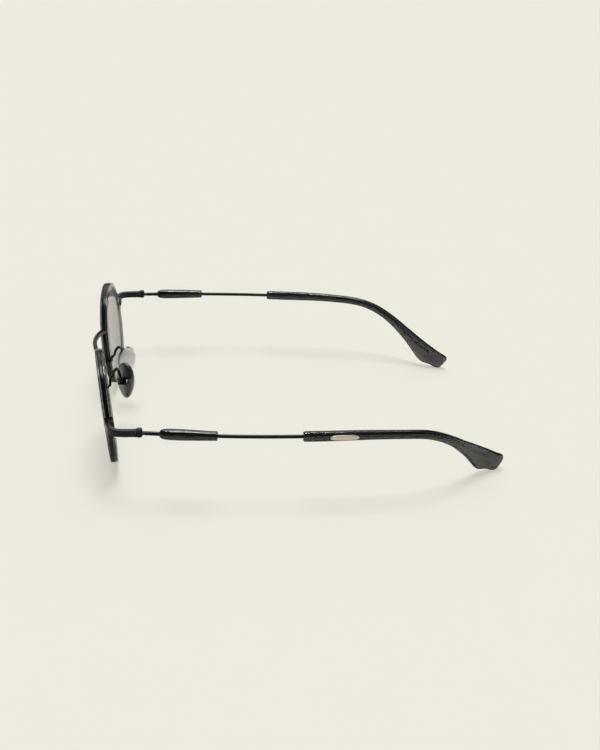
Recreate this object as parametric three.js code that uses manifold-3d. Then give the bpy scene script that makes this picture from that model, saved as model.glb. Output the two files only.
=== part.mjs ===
// Round wire eyeglasses with acetate rims, standing open on the rims and on the temple tips.
// Millimetres. X across (the wearer's left is +X), Y from the front to the back, Z up from the table.
// The left half is worked out and the right half is its mirror image.

import * as THREE from 'three';
import Module from 'manifold-3d';
import { mergeVertices } from 'three/addons/utils/BufferGeometryUtils.js';

const wasm = await Module();
wasm.setup();

// Driving dimensions of the front
const rimSpacing = 63.7;
const rimOuterRadius = 20.4;
const rimDepth = 2.8;
const rimWall = 2.1;
const rimEdgeRound = 0.35;
const rimTiltDegrees = 7;
const rimWrapDegrees = 4.9;
const fitClearance = 0.1;

// Eyewire in the groove round the rim
const wireGrooveWidth = 1.6;
const wireGrooveDepth = 0.7;
const wireProud = 0.05;
const wireEdgeRound = 0.3;

// Lens and its groove inside the rim
const lensThickness = 1.8;
const lensCurveRadius = 130;
const lensBevelDepth = 0.8;
const lensBevelWidth = 1.1;

// Bridge
const bridgeRootDegrees = 154;
const bridgeRootBackward = 0.5;
const bridgeReachForward = 3.3;
const bridgeRise = 1.5;
const bridgeDepth = 1.6;
const bridgeHeight = 2.1;

// Endpieces, rim locks and hinges
const hingeOutset = 9.05;
const hingeSetback = 11.7;
const hingeRise = 5.25;
const strapThickness = 1.7;
const strapHeight = 2.2;
const rootLength = 3.0;
const rootDepth = 3.3;
const rootBackward = 0.25;
const rootDrop = 0.65;
const lockLength = 2.2;
const lockDepth = 2.3;
const lockHeight = 1.3;
const lockGap = 0.2;
const strapCorner = 0.3;
const lockScrewRadius = 0.5;
const lockScrewHeadRadius = 0.75;
const lockScrewHeadHeight = 0.35;
const knuckleRadius = 1.12;
const forkNeckLength = 0.7;
const hingeHeight = 2.5;
const eyeHeight = 0.9;
const hingeClearance = 0.08;
const hingeScrewRadius = 0.55;
const hingeScrewHeadRadius = 0.95;
const hingeScrewHeadHeight = 0.35;
const screwSlotWidth = 0.3;
const screwSlotDepth = 0.2;

// Temples
const templeReach = 133.2;
const templeBow = 2.3;
const templeInset = 18.35;
const templeWireRadius = 0.66;
const templeWireThinRadius = 0.58;
const wireNeck = 1.7;
const sleeveStart = 6.8;
const sleeveLength = 19.1;
const sleeveRadius = 1.88;
const sleeveRearRadius = 1.58;
const sleeveBevel = 1.5;
const tipStart = 54.8;
const tipThickness = 3.0;
const tipHeight = 3.6;
const tipWaistHeight = 3.2;
const paddleHeight = 8.3;
const paddleThickness = 2.5;
const tipEndHeight = 7.1;
const coreEnd = 126.8;
const standFlat = 0.35;

// Plaques in the outer sides of the temple tips
const plaqueStation = 68.9;
const plaqueLength = 10;
const plaqueHeight = 1.9;
const plaqueThickness = 0.5;
const plaqueProud = 0.12;

// Nose pads, their arms and boxes; the pads' middles stand at a share of the gap between the rims
const padGapShare = 0.786;
const padSetback = 6.0;
const padDrop = 1.45;
const padSplayDegrees = 40;
const padLeanDegrees = 11.5;
const padRollDegrees = 15;
const padHeight = 13.5;
const padWidth = 8.4;
const padCrown = 1.7;
const padBackThickness = 0.7;
const padEdgeRound = 0.5;
const plateHeight = 13.1;
const plateWidth = 8.0;
const plateThickness = 0.4;
const boxLength = 3.5;
const boxHeight = 2.6;
const boxWall = 0.75;
const boxFloor = 0.4;
const boxMouthGap = 0.45;
const stemRadius = 0.55;
const stemEyeRadius = 0.7;
const padScrewRadius = 0.32;
const padScrewHeadRadius = 0.6;
const padScrewHeadHeight = 0.3;
const padArmRadius = 0.5;
const padArmLegLength = 3.0;
const padArmSway = 2.3;
const padArmRise = 6.2;

// Fineness of the faces, and how square the ovals are (2 is an ellipse)
const rimFacets = 44;
const wireSides = 8;
const tipSides = 12;
const screwSides = 12;
const knuckleSides = 18;
const padSides = 22;
const routeSteps = 27;
const strapSteps = 12;
const bridgeSteps = 18;
const armSteps = 24;
const sleeveBoreSteps = 5;
const tipBoreSteps = 20;
const lensSteps = 2;
const roundPower = 2;
const bridgePower = 2.2;
const sleevePower = 2.3;
const tipPower = 2.6;

// Overrun of every cut, the distance under which corners are one, and how often a search is refined
const overrun = 1;
const weldDistance = 2 ** -17;
const halvings = 40;
const dropPasses = 4;

const radians = THREE.MathUtils.degToRad;
const rimTilt = radians(rimTiltDegrees);
const rimWrap = radians(rimWrapDegrees);
const zUp = new THREE.Vector3(0, 0, 1);
const xOut = new THREE.Vector3(1, 0, 0);
const yBack = new THREE.Vector3(0, 1, 0);

// Worked out places, measured from the hinge screw's axis in Y
const rimHalfDepth = rimDepth / 2;
const rimCentreHeight = rimOuterRadius * Math.cos(rimTilt) + (rimHalfDepth - rimEdgeRound) * Math.sin(rimTilt);
const rimCentre = new THREE.Vector3(rimSpacing / 2, -hingeSetback, rimCentreHeight);
const hinge = new THREE.Vector3(
  rimSpacing / 2 + rimOuterRadius + hingeOutset,
  0,
  rimCentreHeight + hingeRise,
);
const wireOuterRadius = rimOuterRadius + wireProud;
const wireInnerRadius = rimOuterRadius - wireGrooveDepth + fitClearance;
const rimInnerRadius = rimOuterRadius - rimWall;
const lensRadius = rimInnerRadius + lensBevelDepth - fitClearance;

// From the rim's own frame (X across, Y depth, Z up) to the front's
const rimFrame = new THREE.Matrix4()
  .makeTranslation(rimCentre.x, rimCentre.y, rimCentre.z)
  .multiply(new THREE.Matrix4().makeRotationX(rimTilt))
  .multiply(new THREE.Matrix4().makeRotationZ(rimWrap));

const blackMetal = { color: 0x121214, roughness: 0.28, metalness: 0.85 };
const smokeAcetate = { color: 0x3a363c, roughness: 0.12, metalness: 0, transparent: true, opacity: 0.82 };
const lensGlass = { color: 0x4c4844, roughness: 0.03, metalness: 0, transparent: true, opacity: 0.7 };
const padSilicone = { color: 0xd2d2ce, roughness: 0.25, metalness: 0, transparent: true, opacity: 0.7 };
const brightSteel = { color: 0xc9c9c4, roughness: 0.25, metalness: 1 };
const satinSilver = { color: 0xb9b5a8, roughness: 0.35, metalness: 1 };

// Signed volume of a closed triangle mesh, six times over
function sixVolumes(geometry) {
  const place = geometry.attributes.position;
  const index = geometry.index.array;
  const [a, b, c] = [new THREE.Vector3(), new THREE.Vector3(), new THREE.Vector3()];
  let sum = 0;
  for (let k = 0; k < index.length; k += 3) {
    a.fromBufferAttribute(place, index[k]);
    b.fromBufferAttribute(place, index[k + 1]);
    c.fromBufferAttribute(place, index[k + 2]);
    sum += a.dot(b.cross(c));
  }
  return sum;
}

// The same mesh with shared corners merged and its faces pointing out
function outward(geometry) {
  const bare = geometry.clone();
  bare.deleteAttribute('normal');
  bare.deleteAttribute('uv');
  const merged = mergeVertices(bare, weldDistance);
  const index = merged.index.array;
  const whole = [];
  for (let k = 0; k < index.length; k += 3) {
    const [a, b, c] = [index[k], index[k + 1], index[k + 2]];
    if (a !== b && b !== c && c !== a) whole.push(a, b, c);
  }
  merged.setIndex(whole);
  if (sixVolumes(merged) < 0) merged.setIndex(whole.reverse());
  return merged;
}

function toManifold(geometry) {
  const merged = outward(geometry);
  const vertProperties = new Float32Array(merged.attributes.position.array);
  const triVerts = new Uint32Array(merged.index.array);
  return new wasm.Manifold(new wasm.Mesh({ numProp: 3, vertProperties, triVerts }));
}

function toGeometry(manifold) {
  const mesh = manifold.getMesh();
  const geometry = new THREE.BufferGeometry();
  const places = new Float32Array((mesh.vertProperties.length / mesh.numProp) * 3);
  for (let k = 0; k < places.length / 3; k++) {
    places.set(mesh.vertProperties.subarray(k * mesh.numProp, k * mesh.numProp + 3), k * 3);
  }
  geometry.setAttribute('position', new THREE.BufferAttribute(places, 3));
  geometry.setIndex(Array.from(mesh.triVerts));
  return geometry;
}

function joined(first, ...others) {
  return toGeometry(others.reduce((sum, other) => sum.add(toManifold(other)), toManifold(first)));
}

function cut(first, ...tools) {
  return toGeometry(tools.reduce((rest, tool) => rest.subtract(toManifold(tool)), toManifold(first)));
}

function mirrored(geometry) {
  return outward(geometry.clone().applyMatrix4(new THREE.Matrix4().makeScale(-1, 1, 1)));
}

// A closed skin over rings of points, with a flat fan at each end
function loft(rings) {
  const count = rings[0].length;
  const indices = [];
  for (let ring = 0; ring < rings.length - 1; ring++) {
    for (let k = 0; k < count; k++) {
      const a = ring * count + k;
      const b = ring * count + ((k + 1) % count);
      indices.push(a, b, b + count, a, b + count, a + count);
    }
  }
  const last = (rings.length - 1) * count;
  for (let k = 1; k < count - 1; k++) {
    indices.push(0, k + 1, k, last, last + k, last + k + 1);
  }
  const geometry = new THREE.BufferGeometry().setFromPoints(rings.flat());
  geometry.setIndex(indices);
  return outward(geometry);
}

// Rings of a section carried along a curve, with the section's second axis kept towards a given side
function carried(curve, shares, section, side = zUp) {
  return shares.map((share) => {
    const frame = frameAt(curve, share, side);
    return section(share).map(([a, b]) => frame.centre.clone()
      .addScaledVector(frame.across, a)
      .addScaledVector(frame.rise, b));
  });
}

function frameAt(curve, share, side = zUp) {
  const centre = curve.getPointAt(share);
  const along = curve.getTangentAt(share);
  const across = new THREE.Vector3().crossVectors(along, side).normalize();
  const rise = new THREE.Vector3().crossVectors(across, along);
  return { centre, along, across, rise };
}

function evenShares(from, to, steps) {
  return Array.from({ length: steps + 1 }, (_, k) => from + ((to - from) * k) / steps);
}

// An oval section with its own reach above and below
function oval(halfAcross, above, below, power, sides) {
  return evenShares(0, 1, sides).slice(0, sides).map((share) => {
    const turn = 2 * Math.PI * share;
    const soft = (value) => Math.sign(value) * Math.pow(Math.abs(value), 2 / power);
    const reach = Math.sin(turn) < 0 ? below : above;
    return [halfAcross * soft(Math.cos(turn)), reach * soft(Math.sin(turn))];
  });
}

function round(radius, sides = wireSides) {
  return oval(radius, radius, radius, roundPower, sides);
}

// A rectangular section with its corners taken off
function barSection(width, height, corner) {
  const [a, b] = [width / 2, height / 2];
  return [
    [a - corner, -b], [a, corner - b], [a, b - corner], [a - corner, b],
    [corner - a, b], [-a, b - corner], [-a, corner - b], [corner - a, -b],
  ];
}

// A closed turned body round the Y axis; the profile holds [radius, depth] pairs
function turned(profile, facets = rimFacets) {
  const points = profile.map(([radius, depth]) => new THREE.Vector2(radius, depth));
  return outward(new THREE.LatheGeometry(points, facets));
}

// A cylinder along the given axis between two distances from a point
function rod(centre, axis, from, to, radius, sides = screwSides) {
  const geometry = new THREE.CylinderGeometry(radius, radius, to - from, sides);
  const turn = new THREE.Quaternion().setFromUnitVectors(yBack, axis);
  const middle = centre.clone().addScaledVector(axis, (from + to) / 2);
  geometry.applyQuaternion(turn);
  return geometry.translate(middle.x, middle.y, middle.z);
}

// A box between two corners
function block(low, high) {
  const size = new THREE.Vector3().subVectors(high, low);
  const middle = new THREE.Vector3().addVectors(low, high).multiplyScalar(0.5);
  return new THREE.BoxGeometry(size.x, size.y, size.z).translate(middle.x, middle.y, middle.z);
}

function vector(x, y, z) {
  return new THREE.Vector3(x, y, z);
}

// Acetate rim: outer groove for the eyewire, inner groove for the lens
function rimRing() {
  const [outer, inner, half, edge] = [rimOuterRadius, rimInnerRadius, rimHalfDepth, rimEdgeRound];
  const grooveFloor = outer - wireGrooveDepth;
  const grooveHalf = wireGrooveWidth / 2;
  const lensHalf = lensBevelWidth / 2;
  const profile = [
    [outer - edge, -half], [outer, edge - half], [outer, -grooveHalf], [grooveFloor, -grooveHalf],
    [grooveFloor, grooveHalf], [outer, grooveHalf], [outer, half - edge], [outer - edge, half],
    [inner + edge, half], [inner, half - edge], [inner, lensHalf], [inner + lensBevelDepth, 0],
    [inner, -lensHalf], [inner, edge - half], [inner + edge, -half], [outer - edge, -half],
  ];
  return turned(profile).applyMatrix4(rimFrame);
}

// Angle round the rim, from the temple side upwards, of a height over the rim's centre
function rimAngle(height) {
  return Math.asin(height / rimOuterRadius);
}

// Metal eyewire, split at the lock
function eyewire() {
  const from = rimAngle(rootBottom);
  const to = rimAngle(lockTop) + 2 * Math.PI;
  const half = wireGrooveWidth / 2 - fitClearance;
  const section = [
    [wireInnerRadius, -half], [wireOuterRadius - wireEdgeRound, -half], [wireOuterRadius, wireEdgeRound - half],
    [wireOuterRadius, half - wireEdgeRound], [wireOuterRadius - wireEdgeRound, half], [wireInnerRadius, half],
  ];
  const rings = evenShares(from, to, rimFacets).map((turn) => section.map(
    ([radius, depth]) => vector(radius * Math.cos(turn), depth, radius * Math.sin(turn)),
  ));
  return loft(rings).applyMatrix4(rimFrame);
}

// Lens: a meniscus with a bevelled edge that sits in the rim's inner groove
function lens() {
  const inner = rimInnerRadius - fitClearance;
  const sag = (radius) => lensCurveRadius - Math.sqrt(lensCurveRadius ** 2 - radius ** 2);
  const front = (radius) => sag(radius) - sag(inner) - lensThickness / 2;
  const radii = evenShares(0, inner, lensSteps);
  const profile = [
    ...radii.map((radius) => [radius, front(radius)]),
    [inner, -lensBevelWidth / 2],
    [lensRadius, 0],
    [inner, lensBevelWidth / 2],
    ...radii.reverse().map((radius) => [radius, front(radius) + lensThickness]),
  ];
  return turned(profile).applyMatrix4(rimFrame);
}

// A solid disc as large as the rim and its eyewire, used to shape what is soldered against them
function rimDisc() {
  const radius = wireOuterRadius + fitClearance;
  const half = rimDepth + overrun;
  return turned([[0, -half], [radius, -half], [radius, half], [0, half]]).applyMatrix4(rimFrame);
}

function boxInRimFrame(low, high) {
  return block(low, high).applyMatrix4(rimFrame);
}

// The heights over the rim's centre where the endpiece's root starts and ends
const rootBottom = hingeRise - rootDrop - strapHeight / 2;
const rootTop = hingeRise - rootDrop + strapHeight / 2;
const lockTop = rootBottom - lockGap;
const lockScrewPlace = vector(wireOuterRadius + lockLength / 2 - lockScrewHeadRadius / 2, rootBackward, 0);

function lockScrewHole(radius, from, to) {
  return rod(lockScrewPlace, zUp, from, to, radius).applyMatrix4(rimFrame);
}

// The strap's way round the corner: shares of its reach across and of its reach back
const strapShares = [[0, 0], [0.38, 0.06], [0.7, 0.15], [0.91, 0.32], [0.98, 0.58], [1, 1]];

// Endpiece: the root on the eyewire's upper end, the strap round the corner and the hinge fork
function endpiece() {
  const root = boxInRimFrame(
    vector(rimInnerRadius, rootBackward - rootDepth / 2, rootBottom),
    vector(wireOuterRadius + rootLength, rootBackward + rootDepth / 2, rootTop),
  );
  const start = vector(
    wireOuterRadius + strapThickness / 2,
    rootBackward - rootDepth / 2 + strapThickness / 2,
    hingeRise - rootDrop,
  ).applyMatrix4(rimFrame);
  const end = vector(hinge.x, -knuckleRadius - forkNeckLength / 2, hinge.z);
  const reach = new THREE.Vector3().subVectors(end, start);
  const route = new THREE.CatmullRomCurve3(strapShares.map(
    ([across, back]) => vector(start.x + reach.x * across, start.y + reach.y * back, start.z + reach.z * back),
  ));
  const strap = loft(carried(
    route,
    evenShares(0, 1, strapSteps),
    () => barSection(strapThickness, strapHeight, strapCorner),
  ));
  return cut(
    joined(root, strap, hingeFork()),
    rimDisc(),
    hingeSlot(),
    rod(hinge, zUp, -hingeHeight, hingeHeight, hingeScrewRadius + hingeClearance),
    lockScrewHole(lockScrewRadius + fitClearance, rootBottom - overrun, rootTop + overrun),
  );
}

// Two rounded cheeks that hold the temple's eye between them
function hingeFork() {
  const half = hingeHeight / 2;
  const cheeks = rod(hinge, zUp, -half, half, knuckleRadius, knuckleSides);
  const neck = block(
    vector(hinge.x - knuckleRadius, -knuckleRadius - forkNeckLength, hinge.z - half),
    vector(hinge.x + knuckleRadius, 0, hinge.z + half),
  );
  return joined(cheeks, neck);
}

function hingeSlot() {
  const half = eyeHeight / 2 + hingeClearance;
  return block(
    vector(hinge.x - 2 * knuckleRadius, -knuckleRadius - hingeClearance, hinge.z - half),
    vector(hinge.x + 2 * knuckleRadius, 2 * knuckleRadius, hinge.z + half),
  );
}

// Lower half of the rim lock, on the eyewire's lower end
function rimLock() {
  const lug = boxInRimFrame(
    vector(rimInnerRadius, rootBackward - lockDepth / 2, lockTop - lockHeight),
    vector(wireOuterRadius + lockLength, rootBackward + lockDepth / 2, lockTop),
  );
  return cut(lug, rimDisc(), lockScrewHole(lockScrewRadius + fitClearance, 0, rootTop));
}

// A slotted screw: a head below or above a plain shank
function slottedScrew(centre, axis, shankFrom, shankTo, headFrom, headTo, shankRadius, headRadius) {
  const shank = rod(centre, axis, shankFrom, shankTo, shankRadius);
  const head = rod(centre, axis, headFrom, headTo, headRadius, knuckleSides);
  const outerEnd = Math.abs(headTo) > Math.abs(shankTo) || headTo > shankTo ? headTo : headFrom;
  const turn = new THREE.Quaternion().setFromUnitVectors(zUp, axis);
  const slot = new THREE.BoxGeometry(screwSlotWidth, 2 * headRadius + overrun, 2 * screwSlotDepth);
  slot.applyQuaternion(turn);
  const place = centre.clone().addScaledVector(axis, outerEnd);
  slot.translate(place.x, place.y, place.z);
  return cut(joined(shank, head), slot);
}

function lockScrew() {
  const bottom = lockTop - lockHeight - fitClearance;
  return slottedScrew(
    lockScrewPlace,
    zUp,
    bottom - lockScrewHeadHeight / 2,
    rootTop,
    bottom,
    bottom - lockScrewHeadHeight,
    lockScrewRadius,
    lockScrewHeadRadius,
  ).applyMatrix4(rimFrame);
}

function hingeScrew() {
  const top = hingeHeight / 2 + fitClearance;
  return slottedScrew(
    hinge,
    zUp,
    -hingeHeight / 2,
    top + hingeScrewHeadHeight / 2,
    top,
    top + hingeScrewHeadHeight,
    hingeScrewRadius,
    hingeScrewHeadRadius,
  );
}

// The temple's centre line: shares of its reach, of its outward bow, of its inset and of its drop
const templeRouteShares = [
  [0, 0, 0, 0],
  [0.121, 0.58, 0, 0.005],
  [0.232, 0.92, 0, 0.01],
  [0.347, 1, 0, 0.012],
  [0.473, 0.8, 0, 0.014],
  [0.57, 0.48, 0, 0.017],
  [0.645, 0.1, 0, 0.03],
  [0.697, 0, 0.035, 0.05],
  [0.743, 0, 0.115, 0.09],
  [0.788, 0, 0.225, 0.18],
  [0.832, 0, 0.375, 0.32],
  [0.877, 0, 0.565, 0.509],
  [0.914, 0, 0.735, 0.669],
  [0.95, 0, 0.87, 0.797],
  [1, 0, 1, 1],
];

function templeRoute(drop) {
  return new THREE.CatmullRomCurve3(templeRouteShares.map(([along, bow, inset, down]) => vector(
    hinge.x + templeBow * bow - templeInset * inset,
    hinge.y + templeReach * along,
    hinge.z - drop * down,
  )));
}

// The share of a curve's length at which it reaches a given Y
function shareAt(curve, y) {
  let [low, high] = [0, 1];
  for (let k = 0; k < halvings; k++) {
    const middle = (low + high) / 2;
    if (curve.getPointAt(middle).y < y) low = middle;
    else high = middle;
  }
  return (low + high) / 2;
}

// Tip sections: share of the tip's length, and shares of the waist, paddle and end heights
const tipSectionShares = [
  [0, 'start', 0.5, 0.5],
  [0.11, 'start', 0.51, 0.51],
  [0.25, 'start', 0.49, 0.46],
  [0.37, 'waist', 0.5, 0.5],
  [0.5, 'waist', 0.525, 0.495],
  [0.62, 'waist', 0.525, 0.595],
  [0.71, 'waist', 0.598, 0.797],
  [0.79, 'paddle', 0.299, 0.425],
  [0.84, 'paddle', 0.33, 0.561],
  [0.87, 'paddle', 0.326, 0.672],
  [0.91, 'paddle', 0.334, 0.666],
  [0.96, 'end', 0.45, 0.553],
  [1, 'end', 0.568, 0.557],
];

function tipHeights(share) {
  const heights = { start: tipHeight, waist: tipWaistHeight, paddle: paddleHeight, end: tipEndHeight };
  const rows = tipSectionShares.map(([at, key, above, below]) => [at, heights[key] * above, heights[key] * below]);
  const next = Math.max(1, rows.findIndex(([at]) => at >= share));
  const [a, b] = [rows[next - 1], rows[next]];
  const [before, after] = [rows[Math.max(0, next - 2)], rows[Math.min(rows.length - 1, next + 1)]];
  const t = (share - a[0]) / (b[0] - a[0]);
  const blend = (k) => {
    const slopeA = (b[k] - before[k]) / (b[0] - before[0]) * (b[0] - a[0]);
    const slopeB = (after[k] - a[k]) / (after[0] - a[0]) * (b[0] - a[0]);
    return a[k] * (2 * t ** 3 - 3 * t ** 2 + 1) + slopeA * (t ** 3 - 2 * t ** 2 + t)
      + b[k] * (3 * t ** 2 - 2 * t ** 3) + slopeB * (t ** 3 - t ** 2);
  };
  return { above: blend(1), below: blend(2) };
}

// Shares of the tip's length: its rings up to and over the paddle, where the paddle starts and the
// end rounding; and shares of its height left at the blunt end and at the chamfered start
const bendRingShares = [0, 0.012, 0.08, 0.16, 0.24, 0.32, 0.39, 0.45, 0.51, 0.57, 0.63, 0.68, 0.73, 0.77];
const paddleRingShares = [0.8, 0.825, 0.85, 0.875, 0.905, 0.94, 0.965, 0.985, 0.995, 1];
const paddleShare = 0.8;
const tipRoundingShare = 0.03;
const tipBluntShare = 0.55;
const tipChamferShare = 0.8;

// Outer skin of the tip, its two ends rounded
function tipSkin(route) {
  const [from, to] = [shareAt(route, hinge.y + tipStart), 1];
  const shares = [...bendRingShares, ...paddleRingShares];
  const section = (routeShare) => {
    const share = (routeShare - from) / (to - from);
    const { above, below } = tipHeights(share);
    const left = Math.min(1, (1 - share) / tipRoundingShare);
    const blunt = THREE.MathUtils.lerp(tipBluntShare, 1, Math.sqrt(1 - (1 - left) ** 2));
    const close = (share === 0 ? tipChamferShare : 1) * blunt;
    const half = THREE.MathUtils.lerp(tipThickness, paddleThickness, Math.min(1, share / paddleShare)) / 2;
    return oval(half * close, above * close, below * close, tipPower, tipSides);
  };
  return loft(carried(route, shares.map((share) => from + (to - from) * share), section));
}

// The drop that lets the tip's lowest edge reach the table, less the flat it stands on
function solvedDrop() {
  let drop = hinge.z - tipEndHeight / 2;
  for (let k = 0; k < dropPasses; k++) {
    const skin = tipSkin(templeRoute(drop));
    skin.computeBoundingBox();
    drop += skin.boundingBox.min.z + standFlat;
  }
  return drop;
}

const route = templeRoute(solvedDrop());

// Temple wire: the hinge eye, the neck and one wire that runs through the sleeve into the tip
function templeWire() {
  const sleeveEnd = hinge.y + sleeveStart + sleeveLength;
  const from = shareAt(route, hinge.y + wireNeck);
  const to = shareAt(route, hinge.y + coreEnd);
  const thin = shareAt(route, sleeveEnd - templeWireRadius);
  const shares = [...evenShares(from, to, routeSteps - 1), thin, shareAt(route, sleeveEnd)].sort((a, b) => a - b);
  const wire = loft(carried(route, shares, (share) => round(
    share > thin ? templeWireThinRadius : templeWireRadius,
  )));
  const half = eyeHeight / 2;
  const eye = rod(hinge, zUp, -half, half, knuckleRadius, knuckleSides);
  const neck = block(
    vector(hinge.x - templeWireRadius, 0, hinge.z - half),
    vector(hinge.x + templeWireRadius, hinge.y + wireNeck + templeWireRadius, hinge.z + half),
  );
  return cut(
    joined(eye, neck, wire),
    rod(hinge, zUp, -hingeHeight, hingeHeight, hingeScrewRadius + hingeClearance),
  );
}

function bore(from, to, radius, steps) {
  const shares = evenShares(shareAt(route, from), shareAt(route, to), steps);
  return loft(carried(route, shares, () => round(radius)));
}

// The sleeve's outline: shares of its length, of its swelling over the rear radius and of its bevel
const sleeveShares = [
  [0, 1, 0.5], [0.04, 1, 0.22], [0.09, 1, 0.06], [0.17, 1, 0], [0.38, 0.98, 0], [0.6, 0.66, 0],
  [0.82, 0.2, 0], [0.985, 0, 0], [1, 0, 0.07],
];

// Acetate sleeve on the front part of the wire
function sleeve() {
  const start = hinge.y + sleeveStart;
  const end = start + sleeveLength;
  const [from, to] = [shareAt(route, start), shareAt(route, end)];
  const stations = sleeveShares.map(([share, swell, shrink]) => [
    share,
    THREE.MathUtils.lerp(sleeveRearRadius, sleeveRadius, swell) - sleeveBevel * shrink,
  ]);
  const radii = new Map(stations.map(([share, radius]) => [from + (to - from) * share, radius]));
  const skin = loft(carried(route, [...radii.keys()], (share) => oval(
    radii.get(share), radii.get(share), radii.get(share), sleevePower, tipSides,
  )));
  return cut(skin, bore(start - overrun, end + overrun, templeWireRadius + fitClearance, sleeveBoreSteps));
}

// Temple tip: bent, widened to a paddle, bored for the wire, flat where it stands, seat for the plaque
function tip() {
  const start = hinge.y + tipStart;
  const skin = tipSkin(route);
  const core = bore(
    start - overrun,
    hinge.y + coreEnd + fitClearance,
    templeWireThinRadius + fitClearance,
    tipBoreSteps,
  );
  skin.computeBoundingBox();
  const { min, max } = skin.boundingBox;
  const table = block(
    vector(min.x - overrun, min.y - overrun, min.z - overrun),
    vector(max.x + overrun, max.y + overrun, 0),
  );
  return cut(skin, core, table, plaqueSeat());
}

// An upright oval outline on the outer side of the tip, between two distances from the centre line
function plaqueOval(grow, from, to) {
  const frame = frameAt(route, shareAt(route, hinge.y + plaqueStation));
  const [halfLength, halfHeight] = [plaqueLength / 2 + grow, plaqueHeight / 2 + grow];
  const section = oval(halfLength, halfHeight, halfHeight, roundPower, padSides);
  const outline = (distance) => section.map(([a, b]) => frame.centre.clone()
    .addScaledVector(frame.along, a)
    .addScaledVector(frame.rise, b)
    .addScaledVector(frame.across, distance));
  return loft([outline(from), outline(to)]);
}

function plaqueSeat() {
  const surface = tipThickness / 2;
  return plaqueOval(fitClearance, surface + plaqueProud - plaqueThickness - fitClearance, surface + overrun);
}

function plaque() {
  const surface = tipThickness / 2 + plaqueProud;
  return plaqueOval(0, surface - plaqueThickness, surface);
}

// Half of the bridge's bow: shares of the root's distance across, of the reach forward and of the rise
const bowShares = [[1, 0, 0], [0.78, 0.42, 0.4], [0.42, 0.81, 0.8]];

// Bridge: one bowed bar between the nose sides of the two eyewires
function bridge() {
  const turn = radians(bridgeRootDegrees);
  const root = vector(
    rimOuterRadius * Math.cos(turn),
    bridgeRootBackward,
    rimOuterRadius * Math.sin(turn),
  ).applyMatrix4(rimFrame);
  const half = bowShares.map(([across, forward, up]) => vector(
    root.x * across,
    root.y - bridgeReachForward * forward,
    root.z + bridgeRise * up,
  ));
  const crown = vector(0, root.y - bridgeReachForward, root.z + bridgeRise);
  const other = half.map((point) => vector(-point.x, point.y, point.z)).reverse();
  const bow = new THREE.CatmullRomCurve3([...half, crown, ...other]);
  const bar = loft(carried(bow, evenShares(0, 1, bridgeSteps), () => oval(
    bridgeDepth / 2, bridgeHeight / 2, bridgeHeight / 2, bridgePower, tipSides,
  )));
  return cut(bar, rimDisc(), mirrored(rimDisc()));
}

// Nose pad frame: s runs back along the pad, l runs up it, n points at the nose
const padSplay = radians(padSplayDegrees);
const padLean = radians(padLeanDegrees);
const padRoll = radians(padRollDegrees);
const padFlat = vector(-Math.cos(padSplay), Math.sin(padSplay), 0);
const padN = padFlat.clone().multiplyScalar(Math.cos(padLean)).addScaledVector(zUp, -Math.sin(padLean));
const padS = vector(Math.sin(padSplay), Math.cos(padSplay), 0).applyAxisAngle(padN, -padRoll);
const padL = new THREE.Vector3().crossVectors(padS, padN);
const padCentre = vector(
  (rimSpacing / 2 - rimOuterRadius) * padGapShare,
  rimCentre.y + padSetback,
  rimCentre.z - padDrop,
);

function inPad(s, l, n) {
  return padCentre.clone().addScaledVector(padS, s).addScaledVector(padL, l).addScaledVector(padN, n);
}

// The pad's egg-shaped outline, narrower below
const padNarrowingShare = 0.34;
function eggOutline(height, width) {
  return evenShares(0, 1, padSides).slice(0, padSides).map((share) => {
    const turn = 2 * Math.PI * share;
    const up = Math.sin(turn);
    const back = Math.cos(turn);
    const narrowing = 1 - padNarrowingShare * ((1 - up) / 2) ** 2;
    return [(width / 2) * back * narrowing, (height / 2) * up];
  });
}

function eggRing(height, width, n) {
  return eggOutline(height, width).map(([s, l]) => inPad(s, l, n));
}

// Distances along n from the pad's seat on its plate
const plateBack = -plateThickness;
const screwDepth = plateBack - fitClearance - stemEyeRadius;

const padCrownShares = [0.4, 0.7, 0.9, 0.98];

// Soft pad: flat behind, crowned towards the nose
function nosePad() {
  const back = fitClearance;
  const edge = padEdgeRound;
  const rings = [
    eggRing(padHeight - edge, padWidth - edge, back),
    eggRing(padHeight, padWidth, back + edge / 2),
    eggRing(padHeight, padWidth, back + padBackThickness),
  ];
  for (const share of padCrownShares) {
    const shrink = Math.sqrt(1 - share ** 2);
    rings.push(eggRing(padHeight * shrink, padWidth * shrink, back + padBackThickness + padCrown * share));
  }
  return loft(rings);
}

// Back plate of the pad
function padPlate() {
  return cut(
    loft([eggRing(plateHeight, plateWidth, plateBack), eggRing(plateHeight, plateWidth, 0)]),
    rod(padCentre, padN, plateBack - overrun, overrun, stemRadius + fitClearance),
  );
}

// Stem riveted through the plate, with the eye that the screw passes through
function padStem() {
  const eyeCentre = inPad(0, 0, screwDepth);
  const half = (boxLength - 2 * boxWall) / 2 - fitClearance;
  const shank = rod(padCentre, padN, screwDepth - stemEyeRadius, 0, stemRadius);
  const eye = rod(eyeCentre, padS, -half, half, stemEyeRadius);
  const hole = rod(eyeCentre, padS, -boxLength, boxLength, padScrewRadius + fitClearance);
  return cut(joined(shank, eye), hole);
}

// The pad box's own frame: X up the pad, Y back along it, Z towards the nose, centred on the screw
const boxFrame = new THREE.Matrix4().makeBasis(padL, padS, padN).setPosition(inPad(0, 0, screwDepth));
const boxPocket = -stemEyeRadius - fitClearance;
const boxMouth = stemEyeRadius + fitClearance - boxMouthGap;

function boxBlank(grow) {
  return block(
    vector(-boxHeight / 2 - grow, -boxLength / 2 - grow, boxPocket - boxFloor - grow),
    vector(boxHeight / 2 + grow, boxLength / 2 + grow, boxMouth + grow),
  );
}

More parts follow.
